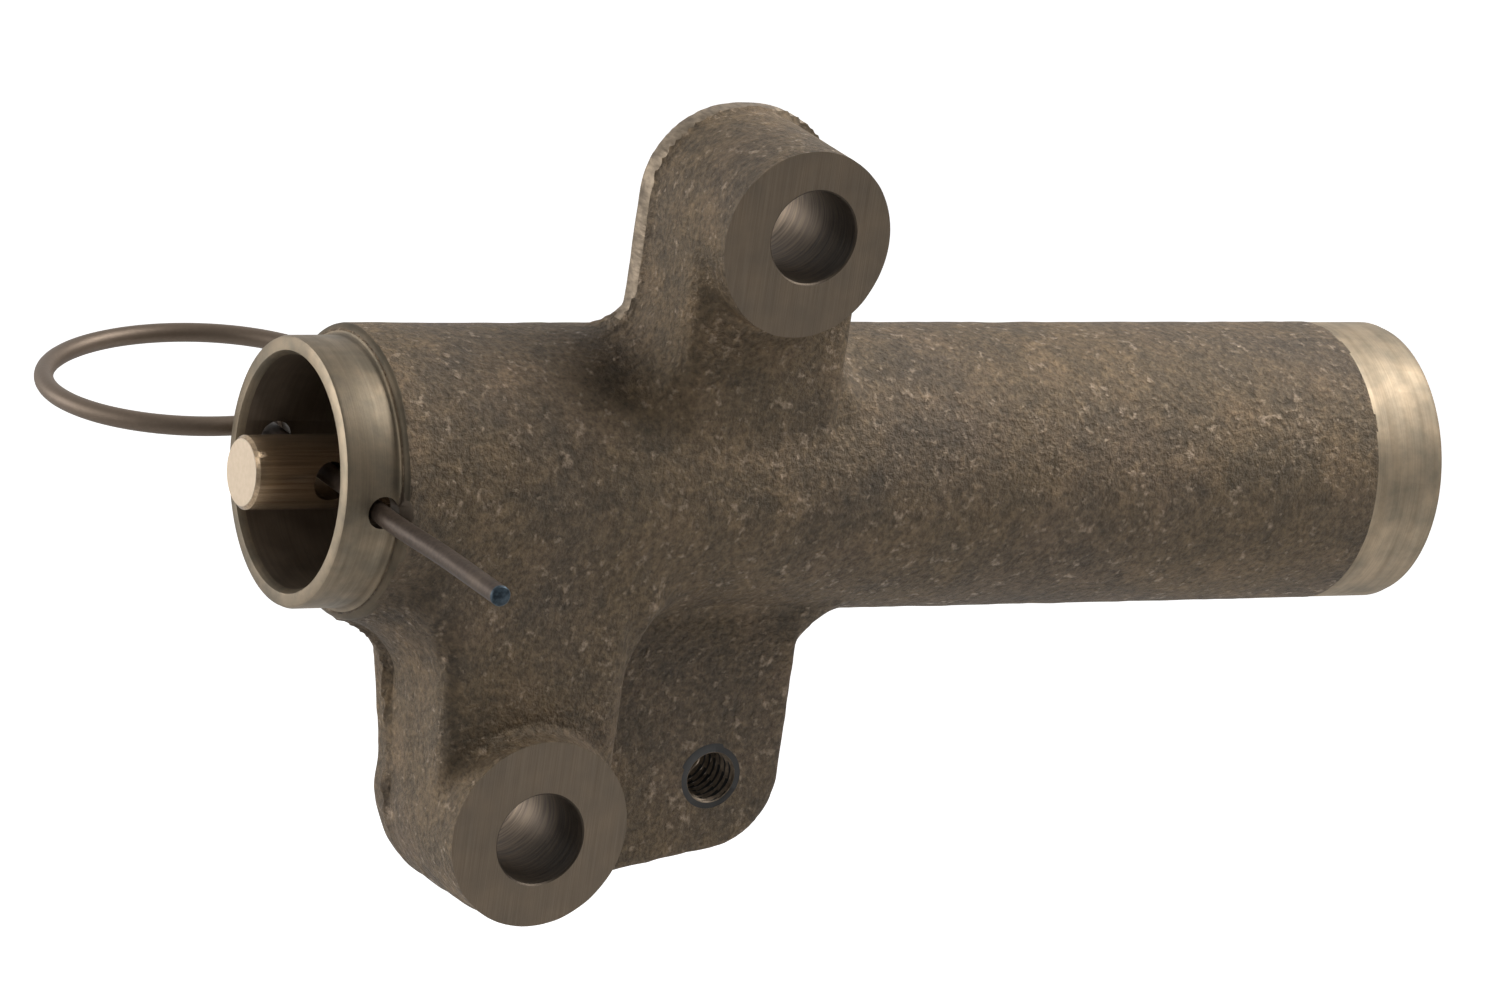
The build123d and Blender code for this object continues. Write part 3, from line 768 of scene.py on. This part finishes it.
def mouth_cutter():
    """Tool that turns the mouth ring, the hollow behind it and the cylinder's shoulder."""
    arcs = [radians(a) for a in range(0, 91, 15)]
    edge, middle = MOUTH_EDGE
    profile = [(MOUTH_X - 4, 0.0), (MOUTH_X, 0.0), (MOUTH_X, MOUTH_RING_R - edge),
               (MOUTH_X + middle, MOUTH_RING_R - middle), (MOUTH_X + edge, MOUTH_RING_R)]
    profile += [(RING_END_X - RING_ROOT_R * (1 - sin(a)), MOUTH_RING_R + RING_ROOT_R * (1 - cos(a)))
                for a in arcs]
    profile += [(SHOULDER_X - SHOULDER_R * cos(a), BODY_R - SHOULDER_R * (1 - sin(a))) for a in arcs[1:]]
    profile += [(SHOULDER_X, FAR), (MOUTH_X - 4, FAR)]
    return lathe("turn_mouth", profile)


def end_cutter():
    """Tool that turns the end band and faces the closed end."""
    edge, middle = BAND_EDGE
    profile = [(BAND_X, FAR), (BAND_X, BAND_R), (END_X - edge, BAND_R), (END_X - middle, BAND_R - middle),
               (END_X, BAND_R - edge), (END_X, 0.0), (END_X + 4, 0.0), (END_X + 4, FAR)]
    return lathe("turn_end", profile)


def bore_cutter():
    """Tool that bores the mouth, the snap ring's groove and the chambers behind the seal."""
    groove_start, groove_end = GROOVE_ENDS
    profile = [(MOUTH_X - 1, 0.0), (MOUTH_X - 1, MOUTH_BORE_R + 0.3),
               (MOUTH_X, MOUTH_EDGE_R), (MOUTH_LEAD_X, MOUTH_BORE_R),
               (groove_start, MOUTH_BORE_R), (groove_start, GROOVE_R), (groove_end, GROOVE_R),
               (groove_end, MOUTH_BORE_R), (SEAL_STOP_X, MOUTH_BORE_R), (SEAL_STOP_X, CHAMBER_R),
               (SLEEVE_STOP_X, CHAMBER_R), (SLEEVE_STOP_X, SLEEVE_BORE_R),
               (BORE_END_X, SLEEVE_BORE_R), (BORE_END_X, 0.0)]
    return lathe("bore", profile)


def bolt_drill(centre):
    """Drill for a bolt hole, which also breaks the hole's two edges."""
    front_r = BOLT_HOLE_R + BOLT_FRONT_CHAMFER
    back_r = BOLT_HOLE_R + BOLT_BACK_CHAMFER
    profile = [(FACE_Y - 3, 0.0), (FACE_Y - 3, front_r), (FACE_Y, front_r),
               (FACE_Y + BOLT_FRONT_CHAMFER, BOLT_HOLE_R), (BACK_Y - BOLT_BACK_CHAMFER, BOLT_HOLE_R),
               (BACK_Y, back_r), (BACK_Y + 3, back_r), (BACK_Y + 3, 0.0)]
    return lathe("drill", profile, along="Y", centre=centre, segments=96)


def thread_drill():
    """Drill that clears the hole in which the thread's own mesh sits."""
    profile = [(-10.0, 0.0), (-10.0, THREAD_HOLE_R), (BACK_Y + 3, THREAD_HOLE_R), (BACK_Y + 3, 0.0)]
    return lathe("thread_drill", profile, along="Y", centre=THREAD, segments=72)


def pin_drill():
    """Drill for the lock pin's hole through both walls of the mouth, with its wide countersinks."""
    wide = PIN_HOLE_R + PIN_HOLE_CHAMFER + 4
    start = BODY_R - PIN_HOLE_CHAMFER
    profile = [(-BODY_R - 4, 0.0), (-BODY_R - 4, wide), (-start, PIN_HOLE_R), (start, PIN_HOLE_R),
               (BODY_R + 4, wide), (BODY_R + 4, 0.0)]
    return lathe("pin_drill", profile, along="Y", centre=PIN_HOLE, segments=48)


def face_mill():
    """Block that mills both bosses to the engine's face."""
    box = [(x, y, z) for x in (-60, 60) for y in (FACE_Y - 9, FACE_Y) for z in (-60, 60)]
    sides = [(0, 1, 3, 2), (4, 6, 7, 5), (0, 4, 5, 1), (2, 3, 7, 6), (0, 2, 6, 4), (1, 5, 7, 3)]
    return new_object("mill", box, sides, smooth=False)


def make_housing():
    """The casting: raw skin from its field, then machined."""
    step = GRID_STEP
    low = np.array(GRID_LOW)
    axes = [np.arange(a, b, step) for a, b in zip(GRID_LOW, GRID_HIGH)]
    grid = np.stack(np.meshgrid(*axes, indexing="ij"), -1)
    field = np.concatenate([casting_field(part) for part in np.array_split(grid, GRID_SLABS)])
    points, quads = surface_net(field, low, step)
    obj = new_object("housing_casting", settle(points, casting_field), quads)
    cut(obj, [mouth_cutter(), end_cutter(), bore_cutter(), bolt_drill(UPPER_BOLT), bolt_drill(LOWER_BOLT),
              thread_drill(), pin_drill(), face_mill()])
    return obj


def hole_wall(x, z, normals, centre):
    """Which faces form the wall of the hole along Y at centre."""
    reach = np.hypot(x - centre[0], z - centre[1])
    inward = (normals[:, 0] * (x - centre[0]) + normals[:, 2] * (z - centre[1])) / np.maximum(reach, 1e-6)
    return (reach < WIDEST_HOLE_R) & (inward < -0.5) & (np.abs(normals[:, 1]) < 0.9)


def face_kinds(centres, normals):
    """Kind of each face of the housing, by where it lies and where it looks."""
    x, y, z = centres.T
    radial = np.hypot(y, z)
    outward = (normals[:, 1] * y + normals[:, 2] * z) / np.maximum(radial, 1e-6)
    kind = np.full(len(centres), CAST)
    kind[(np.abs(y - FACE_Y) < 0.01) & (normals[:, 1] < -0.99)] = MILLED
    kind[(x > BAND_X - 0.01) & (radial < BAND_R + 0.02)] = BAND
    drop = np.clip((SHOULDER_X - x) / SHOULDER_R, 0, 1)
    shoulder_r = BODY_R - SHOULDER_R * (1 - np.sqrt(1 - drop ** 2))
    on_shoulder = (x < SHOULDER_X) & (x >= RING_END_X - 0.02) & (np.abs(radial - shoulder_r) < 0.03)
    kind[on_shoulder] = SHOULDER
    kind[(x < RING_END_X) & (outward > -0.5)] = MOUTH
    for centre in (UPPER_BOLT, LOWER_BOLT, THREAD):
        kind[hole_wall(x, z, normals, centre)] = DRILLED
    kind[hole_wall(x, z, normals, PIN_HOLE)] = DARK_BORE
    inner = outward < -0.5
    kind[inner & (radial < GROOVE_R + 0.05) & (x > MOUTH_LEAD_X)] = DARK_BORE
    kind[inner & (radial < MOUTH_EDGE_R) & (x < MOUTH_LEAD_X)] = MOUTH
    rim = (z > BODY_R + 1.5) & (y > PARTING_Y + 0.1) & (np.abs(normals[:, 1]) < 0.6)
    kind[(kind == CAST) & rim] = FETTLED
    return kind


def finish_faces(obj, materials):
    """Gives each face of the housing its material, with sharp edges where tools have cut."""
    mesh = obj.data
    mesh.materials.clear()
    for material in materials:
        mesh.materials.append(material)
    centres = np.empty(len(mesh.polygons) * 3)
    mesh.polygons.foreach_get("center", centres)
    normals = np.empty(len(mesh.polygons) * 3)
    mesh.polygons.foreach_get("normal", normals)
    kind = face_kinds(centres.reshape(-1, 3) / MM - AXIS_IN_ROW, normals.reshape(-1, 3))
    mesh.polygons.foreach_set("material_index", kind.astype(np.int32))
    mesh.polygons.foreach_set("use_smooth", np.ones(len(kind), bool))
    mesh.set_sharp_from_angle(angle=radians(32))
    mesh.update()


def thread_radius(y, a):
    """Radius of the thread at a depth and an angle, less deep towards both of its ends."""
    run_out = min((y - THREAD_FRONT_Y) / THREAD_RUN_OUT, 1.0, (THREAD_BACK_Y - y) / THREAD_RUN_OUT)
    deep = (THREAD_MAJOR_R - THREAD_MINOR_R) * run_out
    lead = (y - a / (2 * pi) * THREAD_PITCH) % THREAD_PITCH / THREAD_PITCH
    ridge = THREAD_MINOR_R + deep * min(abs(2 * lead - 1) * 1.25, 1.0)
    return max(ridge, THREAD_MOUTH_R - (y - THREAD_FRONT_Y))


def thread_mesh():
    """Thread of the cover bolt's hole in a sleeve, whose two round faces lie flush in the plate."""
    around, rows = 48, 76
    angles = [2 * pi * k / around for k in range(around)]
    points, faces = [], []
    for i in range(rows + 1):
        y = THREAD_FRONT_Y + (THREAD_BACK_Y - THREAD_FRONT_Y) * i / rows
        for a in angles:
            r = thread_radius(y, a)
            points.append((THREAD[0] + r * sin(a), y, THREAD[1] + r * cos(a)))
    outer = THREAD_HOLE_R + 0.3
    for y in (THREAD_FRONT_Y + 0.02, THREAD_BACK_Y - 0.02):
        points += [(THREAD[0] + outer * sin(a), y, THREAD[1] + outer * cos(a)) for a in angles]
    first, last = (rows + 1) * around, (rows + 2) * around
    for k in range(around):
        n = (k + 1) % around
        for i in range(rows):
            faces.append((i * around + k, (i + 1) * around + k, (i + 1) * around + n, i * around + n))
        faces.append((first + k, k, n, first + n))
        faces.append((rows * around + k, last + k, last + n, rows * around + n))
        faces.append((last + k, first + k, first + n, last + n))
    return new_object("cover_bolt_thread", points, faces)


def make_thread(thread_look, face_look, valley_look):
    """The threaded sleeve, with its valleys painted black as painted shade."""
    obj = thread_mesh()
    obj.data.set_sharp_from_angle(angle=radians(50))
    for look in (thread_look, face_look, valley_look):
        obj.data.materials.append(look)
    for face in obj.data.polygons:
        place = face.center / MM - Vector(AXIS_IN_ROW)
        radius = Vector((place.x - THREAD[0], place.z - THREAD[1])).length
        if radius > THREAD_MAJOR_R:
            face.material_index = 1
        # Faces deep in the thread's valleys get the black: painted shade
        elif radius > THREAD_SHADE_R:
            face.material_index = 2
    return obj


def pin_path():
    """Middle of the pin's wire: a shank bowed a little at the near hole, a bend, and an uneven ring."""
    reach = PULL_RING_R + PULL_RING_BEND_R
    bend_start = PULL_RING_CENTRE - sqrt(reach ** 2 - PULL_RING_BEND_R ** 2)
    path = []
    for i in range(101):
        v = PIN_TIP_Y + (bend_start - PIN_TIP_Y) * i / 100
        path.append((-PIN_BOW * exp(-((v - PIN_BOW_Y) / PIN_BOW_SPREAD) ** 2), v))
    turn = atan2(PULL_RING_CENTRE - bend_start, PULL_RING_BEND_R)
    for i in range(1, 17):
        a = turn * i / 16
        path.append((PULL_RING_BEND_R * (1 - cos(a)), bend_start + PULL_RING_BEND_R * sin(a)))
    first = pi / 2 - turn
    last = 2 * pi - PULL_RING_GAP
    for i in range(1, 201):
        a = first + (last - first) * i / 200
        r = PULL_RING_R - PULL_RING_STRAY * (1 - cos(a)) * (1 + sin(2 * a))
        path.append((r * sin(a), PULL_RING_CENTRE - r * cos(a)))
    return [Vector((PIN_X + u * cos(PULL_RING_TILT), v, u * sin(PULL_RING_TILT))) for u, v in path]


def tube(name, path, wire_r, across, around=24):
    """Round wire swept along a path that nowhere runs along across, with slightly broken ends."""
    last = len(path) - 1
    rings = [(0, 0.86, 0.0), (0, 1.0, 0.1 * wire_r)]
    rings += [(i, 1.0, 0.0) for i in range(1, last)]
    rings += [(last, 1.0, -0.1 * wire_r), (last, 0.86, 0.0)]
    points, faces = [], []
    for i, share, inset in rings:
        ahead = (path[min(i + 1, last)] - path[max(i - 1, 0)]).normalized()
        side = ahead.cross(across).normalized()
        over = side.cross(ahead)
        for k in range(around):
            a = 2 * pi * k / around
            points.append(path[i] + ahead * inset + (side * cos(a) + over * sin(a)) * wire_r * share)
    for i in range(len(rings) - 1):
        for k in range(around):
            n = (k + 1) % around
            faces.append((i * around + k, i * around + n, (i + 1) * around + n, (i + 1) * around + k))
    faces.append(tuple(range(around))[::-1])
    faces.append(tuple((len(rings) - 1) * around + k for k in range(around)))
    obj = new_object(name, points, faces)
    face_outwards(obj)
    obj.data.set_sharp_from_angle(angle=radians(60))
    return obj


def make_coil(name, ends, mean_r, wire_r, turns):
    """Compression spring between two stations on the cylinder's axis."""
    start, end = ends
    steps = 32 * turns
    path = []
    for i in range(steps + 1):
        a = 2 * pi * turns * i / steps
        x = start + wire_r + (end - start - 2 * wire_r) * i / steps
        path.append(Vector((x, mean_r * sin(a), -mean_r * cos(a))))
    return tube(name, path, wire_r, Vector((1, 0, 0)), around=12)


def dress(obj, node, body, material):
    """Puts obj in a solid's place, on its body."""
    obj.data.materials.append(material)
    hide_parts(node)
    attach(obj, body)


def squeeze(obj):
    """Gives a spring a mesh of its own."""
    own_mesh(obj)


def add_housing():
    """The machined casting and its thread, in the place of the housing's solid."""
    housing = make_housing()
    cast = cast_material()
    band = turned_material("turned_iron", 0.90, (0.54, 0.68))
    # The mouth ring's darker copy of the turned iron is painted shade; the shoulder's, darker still, is its
    # duller cast-like colour and painted shade in its hollow
    mouth = turned_material("turned_mouth", 0.68, (0.38, 0.55))
    shoulder = turned_material("turned_shoulder", 0.40, (0.55, 0.65))
    finish_faces(housing, [cast, milled_material(), band, drilled_material(), dark_bore_material(), mouth,
                           shoulder, fettled_material()])
    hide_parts("housing")
    thread = make_thread(thread_material(), cast, black_material("painted_thread_shade"))
    for piece in (housing, thread):
        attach(piece, "casting")


def dress_solids(steel, spring, wire):
    """Gives every solid beside the housing its material."""
    rubber = black_material("seal_rubber")
    looks = {
        "push_rod": rod_material(), "lock_pin": wire, "seal_snap_ring": spring, "seal_case": steel,
        "seal_lip": rubber, "garter_spring": spring, "wear_ring": steel, "rod_snap_ring": spring,
        "plunger_spring": spring, "plunger": steel, "valve_seat": steel, "check_ball": steel,
        "check_ball_spring": spring, "valve_cage": steel, "return_spring": spring,
        "inner_sleeve": steel, "sleeve_gasket": steel, "sleeve_o_ring": rubber,
    }
    for name, material in looks.items():
        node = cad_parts[name]
        node.data.materials.clear()
        node.data.materials.append(material)


def add_springs(spring):
    """The two springs that shorten with a joint, in the place of their solids."""
    coil = make_coil("return_coil", RETURN_SPRING_ENDS, RETURN_SPRING_R, RETURN_WIRE_R, RETURN_SPRING_TURNS)
    dress(coil, "return_spring", "casting", spring)
    squeeze(coil)
    coil = make_coil("check_ball_coil", BALL_SPRING_ENDS, BALL_SPRING_R, BALL_WIRE_R, BALL_SPRING_TURNS)
    dress(coil, "check_ball_spring", "rod", spring)
    squeeze(coil)


def make_floor():
    """Plain pale floor well below the part, white to the camera."""
    z = cad_box[0][2] - 0.25
    mesh = bpy.data.meshes.new("floor")
    mesh.from_pydata([(-6, -6, z), (6, -6, z), (6, 6, z), (-6, 6, z)], [], [(0, 1, 2, 3)])
    floor = bpy.data.objects.new("floor", mesh)
    scene.collection.objects.link(floor)
    material = bpy.data.materials.new("floor")
    material.use_nodes = True
    tree = material.node_tree
    shader = tree.nodes["Principled BSDF"]
    shader.inputs["Base Color"].default_value = (0.75, 0.75, 0.75, 1)
    shader.inputs["Roughness"].default_value = 0.9
    shader.inputs["Emission Color"].default_value = (1, 1, 1, 1)
    path = tree.nodes.new("ShaderNodeLightPath")
    lift = tree.nodes.new("ShaderNodeMath")
    lift.operation = "MULTIPLY"
    lift.inputs[1].default_value = 0.8
    tree.links.new(path.outputs["Is Camera Ray"], lift.inputs[0])
    tree.links.new(lift.outputs[0], shader.inputs["Emission Strength"])
    mesh.materials.append(material)


def make_world():
    """Soft light, brighter from behind, and plain white where the camera sees past the part."""
    world = bpy.data.worlds.new("world")
    scene.world = world
    world.use_nodes = True
    tree = world.node_tree
    tree.nodes.clear()
    path = tree.nodes.new("ShaderNodeLightPath")
    soft = tree.nodes.new("ShaderNodeBackground")
    soft.inputs["Color"].default_value = (1, 1, 1, 1)
    where = tree.nodes.new("ShaderNodeTexCoord")
    parts = tree.nodes.new("ShaderNodeSeparateXYZ")
    tree.links.new(where.outputs["Generated"], parts.inputs[0])
    glow = tree.nodes.new("ShaderNodeMapRange")
    glow.interpolation_type = "SMOOTHSTEP"
    for name, value in (("From Min", 0.0), ("From Max", 0.7), ("To Min", 0.205), ("To Max", 0.75)):
        glow.inputs[name].default_value = value
    tree.links.new(parts.outputs["Y"], glow.inputs["Value"])
    tree.links.new(glow.outputs["Result"], soft.inputs["Strength"])
    white = tree.nodes.new("ShaderNodeBackground")
    white.inputs["Color"].default_value = (1, 1, 1, 1)
    white.inputs["Strength"].default_value = 1.0
    seen = tree.nodes.new("ShaderNodeMath")
    seen.operation = "MAXIMUM"
    tree.links.new(path.outputs["Is Camera Ray"], seen.inputs[0])
    tree.links.new(path.outputs["Is Transmission Ray"], seen.inputs[1])
    blend = tree.nodes.new("ShaderNodeMixShader")
    out = tree.nodes.new("ShaderNodeOutputWorld")
    tree.links.new(seen.outputs[0], blend.inputs["Fac"])
    tree.links.new(soft.outputs[0], blend.inputs[1])
    tree.links.new(white.outputs[0], blend.inputs[2])
    tree.links.new(blend.outputs[0], out.inputs["Surface"])


def add_lamp(name, place, target, size, power):
    """Soft square lamp, in metres and watts, that looks at target."""
    data = bpy.data.lights.new(name, "AREA")
    data.shape = "SQUARE"
    data.size = size
    data.energy = power
    lamp = bpy.data.objects.new(name, data)
    scene.collection.objects.link(lamp)
    lamp.location = place
    lamp.visible_camera = False
    lamp.rotation_euler = (Vector(target) - Vector(place)).to_track_quat("-Z", "Y").to_euler()


def make_camera():
    """Camera from the photograph's own perspective, solved in mm and in the photograph's pixels."""
    azimuth, elevation, roll = radians(-30.765), radians(15.781), radians(8.339)
    distance, focal, image_width = 684.5, 7110.0, 1500.0
    shift_right, shift_up = 6.390, -3.136
    aim = Vector((-1.1231, 0, 0)) + Vector(AXIS_IN_ROW)
    back = Vector((sin(azimuth) * cos(elevation), -cos(azimuth) * cos(elevation), sin(elevation)))
    level_right = Vector((cos(azimuth), sin(azimuth), 0))
    level_up = back.cross(level_right)
    right = cos(roll) * level_right + sin(roll) * level_up
    up = -sin(roll) * level_right + cos(roll) * level_up
    place = (aim + right * shift_right + up * shift_up + back * distance) * MM
    data = bpy.data.cameras.new("camera")
    data.sensor_width = 36.0
    data.lens = focal / image_width * data.sensor_width
    camera = bpy.data.objects.new("camera", data)
    scene.collection.objects.link(camera)
    turn = Matrix((right, up, back)).transposed()
    camera.matrix_world = Matrix.Translation(place) @ turn.to_4x4()
    scene.camera = camera


add_housing()
steel = steel_material("ground_steel", (0.36, 0.34, 0.32), (0.52, 0.50, 0.47))
spring = steel_material("spring_steel", (0.10, 0.095, 0.09), (0.20, 0.19, 0.185))
wire = wire_material()
dress_solids(steel, spring, wire)
dress(tube("pin_wire", pin_path(), WIRE_R, Vector((0, 0, 1))), "lock_pin", "pin", wire)
add_springs(spring)

make_floor()
make_world()
make_camera()
middle = (0.012, 0.016, -0.028)
add_lamp("top", (0.25, -0.06, 0.31), middle, 0.26, 2.35)
add_lamp("left", (-0.75, 0.10, 0.15), middle, 0.6, 1.9)
add_lamp("back", (-0.88, 0.70, 0.02), middle, 0.6, 5.5)
add_lamp("low", (0.17, -0.11, -0.17), middle, 0.2, 0.12)
scene.view_settings.view_transform = "Standard"
